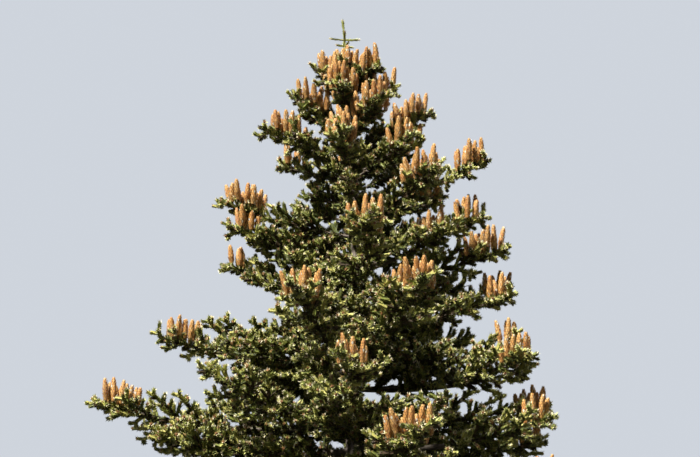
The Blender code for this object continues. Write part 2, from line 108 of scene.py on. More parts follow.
def newPiece(name, points, faces, slots, finishes, smooth, replaced=()):
    # one joined mesh from whole arrays of points, three- or four-sided faces and material slots
    mesh = bpy.data.meshes.new(name)
    count, sides = faces.shape
    mesh.vertices.add(len(points))
    mesh.vertices.foreach_set("co", np.ascontiguousarray(points, np.float32).ravel())
    mesh.loops.add(count * sides)
    mesh.loops.foreach_set("vertex_index", np.ascontiguousarray(faces, np.int32).ravel())
    mesh.polygons.add(count)
    mesh.polygons.foreach_set("loop_start", np.arange(0, count * sides, sides, dtype=np.int32))
    for finish in finishes:
        mesh.materials.append(finish)
    mesh.polygons.foreach_set("material_index", np.ascontiguousarray(slots, np.int32))
    mesh.polygons.foreach_set("use_smooth", np.full(count, smooth))
    mesh.update(calc_edges=True)
    piece = newObject(name, mesh)
    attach(piece, "root")
    if replaced:
        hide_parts(*replaced)
    print(f"{name}: {count * (sides - 2):,} triangles, stands for {len(replaced)} solids")


class Socket:
    # one output of a node, so that shader maths reads as plain expressions
    def __init__(self, shader, output):
        self.shader = shader
        self.output = output

    def math(self, operation, other, flip=False):
        values = [other, self] if flip else [self, other]
        return self.shader.node("ShaderNodeMath", {"operation": operation}, dict(enumerate(values)))

    def __add__(self, other): return self.math("ADD", other)
    def __radd__(self, other): return self.math("ADD", other)
    def __sub__(self, other): return self.math("SUBTRACT", other)
    def __rsub__(self, other): return self.math("SUBTRACT", other, flip=True)
    def __mul__(self, other): return self.math("MULTIPLY", other)
    def __rmul__(self, other): return self.math("MULTIPLY", other)


class Finish:
    # a Principled material whose constants stand on its own sockets
    def __init__(self, name, colour, roughness, **constants):
        self.material = bpy.data.materials.new(name)
        self.material.use_nodes = True
        self.nodes = self.material.node_tree.nodes
        self.links = self.material.node_tree.links
        self.sockets = self.nodes["Principled BSDF"].inputs
        for name, value in {"Base Color": (*colour, 1), "Roughness": roughness, **constants}.items():
            self.sockets[name].default_value = value

    def node(self, kind, settings=None, inputs=None, output=0):
        # any node: its type, its settings, then the values or links of its sockets
        made = self.nodes.new(kind)
        for key, value in (settings or {}).items():
            if key == "stops":
                ramp = made.color_ramp
                for i, (place, colour) in enumerate(value):
                    stop = ramp.elements[i] if i < 2 else ramp.elements.new(place)
                    stop.position = place
                    stop.color = (*colour, 1)
            else:
                setattr(made, key, value)
        for key, value in (inputs or {}).items():
            if isinstance(value, Socket):
                self.links.new(value.output, made.inputs[key])
            else:
                made.inputs[key].default_value = value
        return Socket(self, made.outputs[output])

    def feed(self, socketName, value):
        self.links.new(value.output, self.sockets[socketName])


# needles from the painted shade inside the crown to this year's tips, whose paler new growth also carries a
# painted highlight on the lit rims, then the pale undersides and the buds
needleTones = (
    ("needlesDeep", (0.029, 0.017, 0.006)),
    ("needlesDark", (0.039, 0.050, 0.010)),
    ("needlesGreen", (0.122, 0.142, 0.030)),
    ("needlesOlive", (0.335, 0.312, 0.092)),
    ("needlesLight", (0.432, 0.452, 0.160)),
    ("needlesTip", (0.595, 0.540, 0.365)),
    ("needlesWaxy", (0.290, 0.310, 0.215)),
    ("budBrown", (0.175, 0.085, 0.034)),
)
tipHighlightTone, waxyTone, budTone = 5, 6, 7  # places in that list
needleFinish = {"roughness": 0.60, "Specular IOR Level": 0.22, "Coat Weight": 0.03, "Coat Roughness": 0.40}

coneTones = (
    # the first tone goes on the core seen between the scales: painted shade
    ("coneGap", (0.125, 0.053, 0.016)),
    ("coneRust", (0.388, 0.169, 0.043)),
    ("coneOrange", (0.478, 0.238, 0.061)),
    ("coneTan", (0.510, 0.287, 0.086)),
    ("conePale", (0.490, 0.306, 0.122)),
    ("coneResin", (0.560, 0.505, 0.390), 0.28),  # smoother than the rest
)
coneFinish = {"roughness": 0.62}


def plainFinishes(tones, roughness, **constants):
    # one plain finish for each tone, to be dealt out by shoot or by scale
    return [Finish(name, colour, *(own or [roughness]), **constants).material for name, colour, *own in tones]


woodTones = dict(
    firBark=dict(dark=(0.046, 0.035, 0.027), light=(0.138, 0.113, 0.091), crackScale=60.0, depth=0.004,
                 roughness=0.9),
    firTwig=dict(dark=(0.090, 0.055, 0.032), light=(0.230, 0.165, 0.105), crackScale=160.0, depth=0.001,
                 roughness=0.85),
)
woodGrain = dict(
    stretch=0.35,       # cracks run up the stem: this share of the scale across it
    stainScale=0.22,    # broad stains, as a share of the cracks' scale
    stainShare=0.45, crackShare=0.55,
    darkAt=0.30, lightAt=0.68,
    mattest=1.02, sheen=0.28, relief=0.5,
)


def woodFinish(name):
    # grey-brown wood: the colour runs from dark to light over stainShare * stains + crackShare * cracks,
    # the roughness is mattest - sheen * cracks, and the cracks stand in relief
    tone, grain = woodTones[name], woodGrain
    finish = Finish(name, tone["light"], tone["roughness"])
    place = finish.node("ShaderNodeTexCoord", output="Object")
    stretched = finish.node("ShaderNodeMapping", None, {"Vector": place, "Scale": (1, 1, grain["stretch"])})
    stainScale = tone["crackScale"] * grain["stainScale"]
    stains = finish.node("ShaderNodeTexNoise", None,
                         {"Vector": stretched, "Scale": stainScale, "Detail": 4.0})
    cracks = finish.node("ShaderNodeTexNoise", None,
                         {"Vector": stretched, "Scale": tone["crackScale"], "Detail": 6.0, "Roughness": 0.62})
    colour = finish.node("ShaderNodeValToRGB",
                         {"stops": ((grain["darkAt"], tone["dark"]), (grain["lightAt"], tone["light"]))},
                         {"Fac": stains * grain["stainShare"] + cracks * grain["crackShare"]})
    finish.feed("Base Color", colour)
    finish.feed("Roughness", grain["mattest"] - cracks * grain["sheen"])
    bump = finish.node("ShaderNodeBump", None,
                       {"Height": cracks, "Strength": grain["relief"], "Distance": tone["depth"]},
                       output="Normal")
    finish.feed("Normal", bump)
    return finish.material


# the boughs of the upper crown, each on its solid's line or close to it:
# name, bearing in degrees from +X, reach, tip height, seed cones (times seedCone["more"])
topBoughs = (
    ("t1_left", 190, 0.25, 8.11, 6), ("t1_front", 256, 0.38, 7.92, 7),
    ("t1_right", 343, 0.24, 8.13, 8), ("t2_right", 4, 0.34, 7.98, 6),
    ("t2_front_right", 299, 0.45, 7.77, 8), ("t2_left", 190, 0.44, 7.88, 7),
    ("t2_back", 95, 0.45, 7.88, 4), ("t3_front", 261, 0.73, 7.37, 5),
    ("t3_right", 350, 0.58, 7.76, 8), ("t3_left", 186, 0.66, 7.64, 8),
    ("t3_back_right", 52, 0.66, 7.58, 4), ("t4_front_right", 308, 0.90, 7.10, 8),
    ("t4_right", 354, 0.97, 7.39, 6), ("t4_back_left", 144, 0.67, 7.54, 3),
    ("t4_back", 82, 0.95, 7.20, 4), ("t5_left", 184, 0.96, 7.08, 8),
    ("t5_front", 274, 1.20, 6.56, 7), ("t5_right", 8, 0.92, 7.05, 3),
    ("t5_back", 112, 1.10, 6.85, 4), ("t6_right", 350, 1.09, 6.69, 8),
    ("t6_left", 174, 0.94, 6.66, 2), ("t6_front_right", 288, 1.42, 6.08, 8),
    ("t6_front_left", 255, 1.44, 5.99, 6), ("t6_back", 65, 1.28, 6.45, 4),
    ("t7_right", 4, 1.12, 6.45, 4), ("t7_left", 179, 1.35, 6.10, 6),
    ("t7_front_right", 340, 1.30, 5.84, 5), ("t7_front_left", 230, 1.46, 5.53, 0),
    ("t7_back_left", 125, 1.48, 6.05, 4), ("t8_left", 186, 1.76, 5.58, 7),
    ("t8_right", 18, 1.45, 5.70, 5), ("t8_front", 269, 1.62, 5.46, 5),
    ("t8_front_right", 283, 1.74, 5.00, 10), ("t8_back", 88, 1.66, 5.50, 5),
)
lowCrown = dict(
    boughs=20, withLimbs=4, withCones=6, cones=5,
    topTip=4.80, bottomTip=1.55,
    firstBearing=214.0, turn=137.5, wander=5.0,  # degrees
    reachShare=(0.94, 1.02),
)
sideNames = ("right", "back_right", "back", "back_left", "left", "front_left", "front", "front_right")

boughLine = dict(
    steepestRise=45.0, riseFade=1.3, lowDroop=4.0,  # degrees above level at the top, and lower down
    sagTop=0.03, sagLow=0.10,                       # shares of the reach
    thickness=0.015, tipRadius=0.004, rings=15,
    fanTop=0.30, fanLow=0.39, fanDepth=5.0, fanWidest=0.38,
    limbShare=0.30,                                 # the bare inner share of the four lowest boughs
)


def lowBoughs():
    # each a little lower than the last, on another side, as the solids' own rule has them
    draw, low, made = random.Random(tree["seed"]), lowCrown, []
    for i in range(low["boughs"]):
        height = low["topTip"] + (low["bottomTip"] - low["topTip"]) * i / (low["boughs"] - 1)
        bearing = (low["firstBearing"] + i * low["turn"] + draw.uniform(-low["wander"], low["wander"])) % 360
        reach = crownReach(height) * draw.uniform(*low["reachShare"])
        name = f"low{i + 1:02d}_{sideNames[round(bearing / 45) % 8]}"
        bare = boughLine["limbShare"] if i >= low["boughs"] - low["withLimbs"] else 0.0
        made.append((name, bearing, reach, height, low["cones"] if i < low["withCones"] else 0, bare))
    return made


class Bough:
    # line: foot + outward * reach * s, rising by climb * s less the sag 4 * sag * s * (1 - s). It leaves the
    # trunk steeply at the top and nearly level lower down: rise = steepest * exp(-depth / fade) - droop
    def __init__(self, name, bearing, reach, tipHeight, cones=0, bare=0.0):
        self.name, self.reach, self.tipHeight, self.cones = name, reach, tipHeight, cones
        self.bare, self.coarse = bare, 1.0
        self.depth = tree["height"] - tipHeight
        rise = (boughLine["steepestRise"] * math.exp(-self.depth / boughLine["riseFade"])
                - boughLine["lowDroop"] * self.depth / tree["height"])
        turn = math.radians(bearing)
        self.outward = np.array([math.cos(turn), math.sin(turn), 0])
        self.side = np.array([-math.sin(turn), math.cos(turn), 0])
        footHeight = tipHeight - reach * math.tan(math.radians(rise))
        self.climb = tipHeight - footHeight
        low = min(1.0, self.depth / tree["height"])
        self.sag = reach * (boughLine["sagTop"] + (boughLine["sagLow"] - boughLine["sagTop"]) * low)
        self.foot = trunkCentre(footHeight)

    def at(self, shares):
        # points at these shares of the way to the tip
        s = np.asarray(shares, float)[..., None]
        drop = 4 * self.sag * s * (1 - s)
        return self.foot + self.outward * (self.reach * s) + skyward * (self.climb * s - drop)

    def forward(self, shares):
        # the way the line runs there
        s = np.asarray(shares, float)
        return unit(self.at(s + 0.01) - self.at(s - 0.01))

    def woodRadius(self, shares):
        # thins towards the tip as (1 - s)^0.8
        return (boughLine["tipRadius"]
                + boughLine["thickness"] * self.reach * np.clip(1 - np.asarray(shares), 0, 1) ** 0.8)

    def halfWidth(self, shares):
        # a fan: widest at fanWidest, closing to the tip as (1 - s)^0.55
        s = np.asarray(shares, float)
        spread = (boughLine["fanTop"] + (boughLine["fanLow"] - boughLine["fanTop"])
                  * min(1.0, self.depth / boughLine["fanDepth"]))
        return spread * self.reach * np.minimum(1, s / boughLine["fanWidest"]) * (1 - s) ** 0.55


growth = dict(
    segment=0.080,       # a year's growth of a twig
    girth=0.0262,        # radius of a needled shoot, over the needles
    twigStep=0.074,      # between side twigs along a bough
    backStep=0.095,      # between the twigs that stand on a bough's back
    twigAngle=50.0,      # degrees between a twig and what carries it
    lateral=0.56,        # a lateral's length as a share of what is left of its twig
    upright=0.60,        # chance of a shoot that stands up at a node
    hanging=0.25,        # chance of one that hangs
    sideTwig=0.93,       # chance of a lateral on either side of a node
    fork=0.66,           # and of a fork on either side of a long lateral
    under=0.62,          # and of each short shoot under a bough
    below=0.80,          # chance of a twig that hangs below it
    wander=0.06,         # how far a year's growth strays from its heading
    twigTip=0.002, twigThickening=0.0034,  # radius, and what a metre of twig adds to it
    lowSize=1.75,        # the lower crown's shoots are this much larger, and fewer
    sizeFrom=5.2, sizeTo=3.4,  # heights between which they grow larger
    overhang=0.085,      # how far a shoot may pass its bough's reach, less its own girth
    innerShoots=0.10,    # share of a bough, next to the trunk, that has lost its needles
    clearOfTrunk=0.09,   # and at least this much of it
    lastTwig=0.985,      # share of the bough at which its side twigs end
    hiddenWood=0.60,     # wood inside the needles is this share of the solids' thicker stem
)
# side twigs take turns to rise and hang, so that a bough's foliage is deep: (lift, share of the length)
twigLayers = ((0.06, 1.0), (0.70, 0.66), (-0.46, 0.66), (0.34, 0.86), (-0.20, 0.86))

grown = []    # per bough: [tip height, solids it stands for, rows of shoots]
twigs = []    # (points, radii), and the number of sides where it isn't 4
cones = []    # (foot, axis, length, radius, bend)


def lowness(heights):
    # 0 above sizeFrom, rising evenly to 1 at sizeTo
    return np.clip((growth["sizeFrom"] - heights) / (growth["sizeFrom"] - growth["sizeTo"]), 0, 1)


def sizeAt(height):
    # how much larger shoots are: 1 + (lowSize - 1) * lowness
    return float(1 + (growth["lowSize"] - 1) * lowness(height))


class Grower:
    # collects one bough's shoots as rows of (base, forward, length, girth, bend, outerness), where
    # outerness runs from 0 next to the trunk to 1 at the ends of the twigs and is kept low under a bough
    # and for hanging shoots: it sets the painted shade of their tone
    def __init__(self, size, clump, rng, reach=3.0):
        self.size, self.clump, self.rng = size, clump, rng
        self.segment, self.girth = growth["segment"] * size, growth["girth"] * size
        self.limit = reach + growth["overhang"] - self.girth
        self.rows = []

    def shoot(self, base, way, length, girthShare, outer):
        # one needled shoot, left out where its end would pass the bough's reach
        bend = self.rng.uniform(0.04, 0.16)
        way = unit(way)
        end = base + way * length
        if math.hypot(end[0], end[1]) < self.limit:
            self.rows.append((*base, *way, length, self.girth * girthShare, bend, outer))

    def twig(self, start, heading, length, bendTo, vigour=1.0):
        # a chain of yearly segments, with laterals, uprights and a tip. Year k of n is headed for
        # heading + bendTo * (k / n)^1.3, and strays a little
        rng, segment = self.rng, self.segment
        count = max(1, int(round(length / segment)))
        step = length / count
        k = np.arange(count)
        wander = rng.normal(0, growth["wander"], (count, 3))
        headings = unit(heading + np.outer((k / max(count, 2)) ** 1.3, bendTo) + wander)
        points = np.vstack([start, start + np.cumsum(headings * step, axis=0)])
        if count > 1:
            thickening = growth["twigThickening"] * (1 - np.arange(count + 1) / count) * length
            twigs.append((points, growth["twigTip"] * self.size + thickening))
        for i in range(count):
            outer = (i + 1) / count
            here, ahead = points[i], headings[i]
            across = unit(np.cross(skyward, ahead))
            if i == count - 1:
                self.shoot(here, ahead, step * 1.08, rng.uniform(0.95, 1.08), outer)
            else:
                self.shoot(here, ahead, step * 1.03, rng.uniform(0.76, 0.90), 0.45 * outer)
            left = length * (1 - (i + 0.9) / count)
            for turn in (-1, 1):
                if rng.random() > growth["sideTwig"] * vigour:
                    continue
                lateral = growth["lateral"] * left * rng.uniform(0.75, 1.15)
                lateral = np.clip(lateral, 0.72 * segment, 2.6 * segment)
                way = unit(ahead * 0.62 + across * turn * 0.78 + skyward * rng.uniform(-0.25, 0.45))
                base = here + ahead * step * rng.uniform(0.80, 0.98)
                if lateral < 1.5 * segment:  # a single shoot, and otherwise one that forks halfway
                    self.shoot(base, way, lateral, rng.uniform(0.84, 1.0), 0.5 + 0.5 * outer)
                    continue
                half = 0.5 * lateral
                middle = base + way * half
                turned = unit(way + ahead * 0.35 + skyward * rng.uniform(0.0, 0.3))
                self.shoot(base, way, half * 1.04, rng.uniform(0.86, 1.0), 0.85 * outer)
                self.shoot(middle, turned, half * 1.1, rng.uniform(0.86, 1.0), 1.0)
                for fork in (-1, 1):
                    if rng.random() < growth["fork"]:
                        away = turned * 0.6 + across * fork * 0.7 + skyward * rng.uniform(-0.2, 0.6)
                        self.shoot(middle, away, 0.78 * segment, rng.uniform(0.82, 0.96), 1.0)
            if rng.random() < growth["upright"] * vigour and not self.clump.holds(here):
                way = ahead * 0.45 + skyward + across * rng.uniform(-0.5, 0.5)
                self.shoot(here + ahead * step * rng.uniform(0.2, 0.8), way,
                           segment * rng.uniform(0.7, 1.2), rng.uniform(0.86, 1.0), 0.95)
            # hanging shoots get outerness 0.3, which paints them in shade
            if rng.random() < growth["hanging"] * vigour:
                way = ahead * 0.8 - skyward * 0.6 + across * rng.uniform(-0.6, 0.6)
                self.shoot(here + ahead * step * 0.5, way, segment * rng.uniform(0.65, 1.0), 0.9, 0.3)


class Clump:
    # where a bough's seed cones stand: a disc near its tip, in which few shoots stand up. Its radius is
    # pitch * sqrt(cones), as far as the bough's reach allows
    def __init__(self, bough):
        self.count = bough.cones
        widest, mostInward, nearest = (share * bough.reach for share in seedCone["reachShares"])
        self.radius = min(seedCone["pitch"] * math.sqrt(max(bough.cones, 1)), widest)
        inward = min(self.radius + min(seedCone["fromTip"], nearest), mostInward)
        self.middle = bough.at(1 - inward / bough.reach)

    def holds(self, point):
        away = np.hypot(point[0] - self.middle[0], point[1] - self.middle[1])
        return self.count > 0 and away < self.radius * 1.1


def growBough(bough, nodes, rng):
    # its wood, its own shoots, side twigs in layers, twigs above and below, and its tip
    size = sizeAt(bough.tipHeight) * bough.coarse
    clump = Clump(bough)
    grower = Grower(size, clump, rng, bough.reach)
    start = max(bough.bare, growth["innerShoots"], growth["clearOfTrunk"] / bough.reach)
    wood = np.linspace(0.0, 1.0, boughLine["rings"])
    slim = np.interp(wood, (bough.bare, bough.bare + 0.12), (1.0, growth["hiddenWood"]))
    if not bough.bare:
        slim[:] = growth["hiddenWood"]
    twigs.append((bough.at(wood), bough.woodRadius(wood) * slim, 8))
    # shoots along it, and short ones that hide it from below
    count = max(2, int(round((1 - start) * bough.reach / grower.segment)))
    shares = start + (1 - start) * np.arange(count + 1) / count
    line = bough.at(shares)
    for a, b, share in zip(line[:-1], line[1:], shares[:-1]):
        ahead = unit(b - a)
        grower.shoot(a, ahead, np.linalg.norm(b - a) * 1.03, 1.02, share ** 2)
        # shoots under the bough get outerness 0.25, which paints them in shade
        for turn in (-0.8, 0.0, 0.8):
            if rng.random() < growth["under"]:
                way = (ahead * 0.9 - skyward * rng.uniform(0.3, 0.8)
                       + bough.side * (turn + rng.uniform(-0.3, 0.3)))
                grower.shoot(a + (b - a) * rng.random(), way,
                             grower.segment * rng.uniform(0.6, 0.95), 0.92, 0.25)
    # side twigs to the left and right in turn, in layers
    angle = math.radians(growth["twigAngle"])
    span = growth["lastTwig"] - start
    count = max(3, int(span * bough.reach / (growth["twigStep"] * size)))
    shares = start + span * (np.arange(count) + rng.uniform(0.2, 0.8, count)) / count
    lengths = np.maximum(bough.halfWidth(shares) / math.sin(angle) * rng.uniform(0.84, 1.04, count),
                         grower.segment * rng.uniform(0.8, 1.2, count))
    layer = rng.integers(0, len(twigLayers))
    for i, (share, length, forward) in enumerate(zip(shares, lengths, bough.forward(shares))):
        turn = 1 if i % 2 else -1
        lift, part = twigLayers[(layer + i // 2 * 2 + i % 2) % len(twigLayers)]
        lift += rng.uniform(-0.08, 0.08)
        heading = unit(forward * math.cos(angle) + bough.side * turn * math.sin(angle) + skyward * lift)
        grower.twig(bough.at(share), heading, max(length * part, 0.8 * grower.segment),
                    forward * 0.45 + skyward * (0.16 - 0.7 * min(lift, 0.3)))
    # twigs that stand on its back, and others that hang below it with their ends turned up
    count = max(2, int((0.95 - start) * bough.reach / (growth["backStep"] * size)))
    shares = start + (0.96 - start) * (np.arange(count) + rng.uniform(0.1, 0.9, count)) / count
    deep = min(1.0, bough.reach / 0.9)
    for share, forward in zip(shares, bough.forward(shares)):
        across = rng.uniform(-0.75, 0.75)
        length = grower.segment * rng.uniform(1.0, 2.3) * (1 - 0.4 * share)
        foot, sideways = bough.at(share), bough.side * across
        if clump.holds(foot):
            grower.twig(foot, unit(forward + skyward * 0.2 + sideways), length * 0.6, forward * 0.3, 0.8)
        else:
            heading = unit(forward * 0.7 + skyward * 0.9 + sideways)
            grower.twig(foot, heading, length, forward * 0.3 + skyward * 0.2, 0.9)
        if rng.random() < growth["below"] * deep:
            heading = unit(forward * 0.8 - skyward * 0.7 - sideways)
            grower.twig(foot, heading, length * 0.8, forward * 0.5 + skyward * 0.6, 0.8)
    # its tip: shoots spread round the last one
    tip = bough.at(1.0 - 1.15 * grower.segment / bough.reach)
    forward = bough.forward(0.97)
    ways = ((-1, 0.1), (1, 0.15), (0.5, -0.35), (-0.3, 0.8))
    for turn, lift in ways if bough.reach > 0.4 else ways[:3]:
        grower.shoot(tip, forward + bough.side * turn * 0.8 + skyward * lift,
                     grower.segment * rng.uniform(0.7, 0.9), 0.94, 1.0)
    grown.append([bough.tipHeight, nodes, grower.rows])


seedCone = dict(
    length=(0.134, 0.172), radius=(0.0208, 0.0242),
    pitch=0.031,        # a clump's radius over the square root of its cones
    fromTip=0.060,      # between the bough's tip and its clump
    reachShares=(0.40, 0.60, 0.10),  # a short bough's most for the radius, the way in and fromTip
    lift=0.028,         # feet above the bough's line
    more=2.1,           # cones of a clump for each one that a name above calls for
    overhang=0.035,     # how far past the side twigs a clump reaches
    stalk=0.0045,       # radius of the short twig under each cone
    spread=0.12,        # how far the outer ones lean away from the clump's middle
)


def growCones(bough, rng):
    # a clump on top of the bough, laid out as a sunflower's seeds: cone i at radius * sqrt(i / cones)
    if not bough.cones:
        return
    clump = Clump(bough)
    i = np.arange(bough.cones)
    away = clump.radius * np.sqrt((i + 0.35) / bough.cones)
    turn = i * goldenTurn + rng.uniform(0, 6.28)
    offset = (np.outer(away * np.cos(turn), bough.outward) + np.outer(away * np.sin(turn), bough.side)
              + rng.normal(0, 0.006, (len(i), 3)))
    share = 1 - ((clump.middle - bough.at(1.0)) @ -bough.outward - away * np.cos(turn)) / bough.reach
    # the clump is no wider than the twigs that carry it
    carried = np.minimum(1, (bough.halfWidth(share) + seedCone["overhang"]) / clump.radius)
    holders = bough.at(share)
    feet = holders + np.outer(away * np.sin(turn) * carried, bough.side) + [0, 0, seedCone["lift"]]
    axes = unit([0, 0, 1] + offset / clump.radius * seedCone["spread"] + rng.normal(0, 0.05, (len(i), 3)))
    girth = growth["girth"] * sizeAt(bough.tipHeight) * 0.75
    for holder, foot, axis in zip(holders, feet, axes):
        # a short twig with its needles carries each cone
        stalk = foot - holder
        line = np.array([holder, holder + 0.6 * stalk, foot + 0.012 * axis])
        twigs.append((line, seedCone["stalk"] * np.ones(3)))
        grown[-1][2].append((*holder, *unit(stalk), 1.05 * np.linalg.norm(stalk), girth, 0.0, 0.7))
        cones.append((*foot, *axis, rng.uniform(*seedCone["length"]), rng.uniform(*seedCone["radius"]),
                      rng.normal(0, 0.06)))


needleShape = dict(
    core=0.58,          # radius of the dense middle, as a share of the shoot's girth
    rough=0.20,         # how much that varies
    halfWidth=0.21,     # a needle's half width at its foot, as a share of the girth
    slim=0.34,          # turns that share into one of the length
    atEnd=0.34,         # share of the needles that stand on the round end
    sides=4, endsAt=0.80,  # the middle's corners, and where along the shoot its round end starts
)


def shootForm(needles, rng):
    # a rough blunt middle with needles round it. Points are (along, across, up): along is a share of
    # the length, the others of the girth. Needle i stands at i golden turns and leans forward, and the
    # last ones spread over the round end
    shape, rings = needleShape, 2
    sides, endsAt = shape["sides"], shape["endsAt"]
    t = np.array([0.0, endsAt])
    radius = shape["core"] * np.array([0.92, 1.0])
    angle = 2 * math.pi * (np.arange(sides)[None, :] + 0.5 * (np.arange(rings)[:, None] % 2)) / sides
    rough = radius[:, None] * rng.uniform(1 - shape["rough"], 1 + shape["rough"], (rings, sides))
    core = np.stack([np.repeat(t[:, None], sides, 1) + rng.uniform(-0.04, 0.04, (rings, sides)),
                     rough * np.cos(angle), rough * np.sin(angle)], -1)
    core = np.vstack([core.reshape(-1, 3), [[1.0, 0, 0]]])
    quads, around = sleeve(rings, sides), np.arange(sides) + (rings - 1) * sides
    coreFaces = np.vstack([quads[:, [0, 1, 2]], quads[:, [0, 2, 3]], [[0, 2, 1], [0, 3, 2]],
                           np.stack([around, np.roll(around, -1), np.full(sides, rings * sides)], -1)])
    i = np.arange(needles)
    ends = round(needles * shape["atEnd"])
    atEnd = i >= needles - ends
    t = np.where(atEnd, endsAt, 0.02 + 0.76 * (i + 0.5) / (needles - ends))
    turn = i * goldenTurn + rng.uniform(-0.35, 0.35, needles)
    rise = np.radians(np.where(atEnd, 12 + 44 * (i - needles + ends + 0.5) / ends, 0.0))
    reach = rng.uniform(0.88, 1.16, needles) * np.where(atEnd, 0.86, 1.0)
    out = np.stack([np.zeros(needles), np.cos(turn), np.sin(turn)], -1)
    tangent = np.stack([np.zeros(needles), -np.sin(turn), np.cos(turn)], -1)
    axis = np.array([[1.0, 0, 0]])
    root = axis * t[:, None] + out * np.where(atEnd, 0.25, 0.32)[:, None]
    along = np.where(atEnd, 0.86 + 0.28 * np.sin(rise), t + rng.uniform(0.14, 0.28, needles))
    tip = axis * along[:, None] + out * (np.cos(rise) * reach)[:, None]
    twist = rng.uniform(-0.5, 0.5, needles) + np.where(atEnd, 1.0, 1.4)
    half = shape["halfWidth"] * np.stack([np.cos(twist) * shape["slim"], np.sin(twist)], -1)
    wide = axis * half[:, :1] + tangent * half[:, 1:]
    blade = np.stack([root - wide, root + wide, tip], 1).reshape(-1, 3)
    bladeFaces = np.arange(needles * 3).reshape(-1, 3) + len(core)
    # 0 and 3 on the middle, 4 on its bud, 1 and 5 on needles, 2 on needles of the round end
    coreParts = np.where(rng.random(len(coreFaces)) < 0.4, 3, 0)
    coreParts[-sides:] = 4
    bladeParts = np.where(atEnd, 2, np.where(rng.random(needles) < 0.5, 5, 1))
    return (np.vstack([core, blade]), np.vstack([coreFaces, bladeFaces]),
            np.concatenate([coreParts, bladeParts]))


coneShape = dict(
    around=7, rows=9,     # scales
    # the core's dark tone is painted shade between the scales
    core=0.84,            # radius of the dark core, as a share of the cone's
    scaleWidth=0.94, proud=1.10,
    widestAt=0.30, taper=0.66, closing=0.77,  # where it is widest, its share near the tip, where it closes
)


def coneForm(rng):
    # a slim core, painted dark as the shade between the scales, under rows of scales. The outline is foot *
    # narrowing * closing: it swells from the foot to widestAt, narrows to taper as u^1.4 and closes round the
    # tip as sqrt(1 - u^2). Scale (j, k) is a kite whose foot is sunk in the core and whose far edge stands
    # proud of the next row
    c = coneShape
    around, rows = c["around"], c["rows"]

    def profile(s):
        foot = np.clip(0.62 + 1.3 * s, 0, 1)
        narrowing = 1 - (1 - c["taper"]) * np.clip((s - c["widestAt"]) / (1 - c["widestAt"]), 0, 1) ** 1.4
        u = np.clip((s - c["closing"]) / (1.01 - c["closing"]), 0, 1)
        return foot * narrowing * np.sqrt(np.clip(1 - u ** 2, 0, 1))

    t = np.array([0.0, c["widestAt"], 0.94])
    sides = 4
    angle = 2 * math.pi * np.arange(sides) / sides
    radius = c["core"] * profile(t)
    core = np.stack([np.repeat(t[:, None], sides, 1), radius[:, None] * np.cos(angle),
                     radius[:, None] * np.sin(angle)], -1).reshape(-1, 3)
    coreFaces = closedSleeve(len(t), sides)
    j, k = np.meshgrid(np.arange(rows), np.arange(around), indexing="ij")
    j, k = j.ravel(), k.ravel()
    pitch = 1.0 / (rows + 0.2)
    middle = (j + 0.35) * pitch
    turn = 2 * math.pi * (k + 0.5 * (j % 2)) / around + rng.normal(0, 0.05, len(j))
    half = math.pi / around * c["scaleWidth"]
    lift = rng.uniform(0.94, 1.10, len(j))

    def corner(along, sideways, proud):
        radius = profile(np.minimum(along, 0.97)) * proud
        return np.stack([along, radius * np.cos(turn + sideways), radius * np.sin(turn + sideways)], -1)

    foot = corner(middle - 0.50 * pitch, 0.0, c["core"] * 0.94)
    left = corner(middle + 0.30 * pitch, -half, 0.96)
    right = corner(middle + 0.30 * pitch, half, 0.96)
    edge = corner(np.minimum(middle + 0.86 * pitch, 1.02), 0.0, c["proud"] * lift)
    scales = np.stack([foot, right, edge, left], 1).reshape(-1, 3)
    base = len(core) + np.arange(len(j)) * 4
    faces = np.vstack([coreFaces, base[:, None] + np.arange(4)])
    scaleOf = np.concatenate([np.full(len(coreFaces), -1), np.arange(len(j))])
    return np.vstack([core, scales]), faces, scaleOf, len(j)


def placeForms(form, base, forward, up, length, girth, bend):
    # point = base + forward * length * t + (across * y + up * z) * girth + lift * length * bend * t^2
    points, faces = form[:2]
    t, y, z = points.T[:, None, :, None]
    across, up = squareTo(forward, up)
    along, girth = length[:, None, None] * t, girth[:, None, None]
    placed = (base[:, None] + forward[:, None] * along
              + across[:, None] * (girth * y) + up[:, None] * (girth * z))
    placed[..., 2] += (length * bend)[:, None] * t[..., 0] ** 2
    faces = faces[None] + (np.arange(len(base)) * len(points))[:, None, None]
    return placed.reshape(-1, 3), faces.reshape(-1, faces.shape[2])


def tubes(chains):
    # tapered tubes along many chains of points, closed at both ends. A ring's point at angle a is
    # line + radius * (across * cos(a) + up * sin(a)), square to the line
    points, faces = [], []
    offset = 0
    for line, radii, *sides in chains:
        sides = sides[0] if sides else 4
        forward = unit(np.gradient(line, axis=0))
        hint = np.where(np.abs(forward[:, 2:3]) < 0.9, [[0, 0, 1.0]], [[1.0, 0, 0]])
        across, up = squareTo(forward, hint)
        angle = 2 * math.pi * np.arange(sides) / sides
        spokes = across[:, None] * np.cos(angle)[:, None] + up[:, None] * np.sin(angle)[:, None]
        ring = line[:, None] + radii[:, None, None] * spokes
        points.append(ring.reshape(-1, 3))
        faces.append(closedSleeve(len(line), sides) + offset)
        offset += len(line) * sides
    return np.vstack(points), np.vstack(faces)


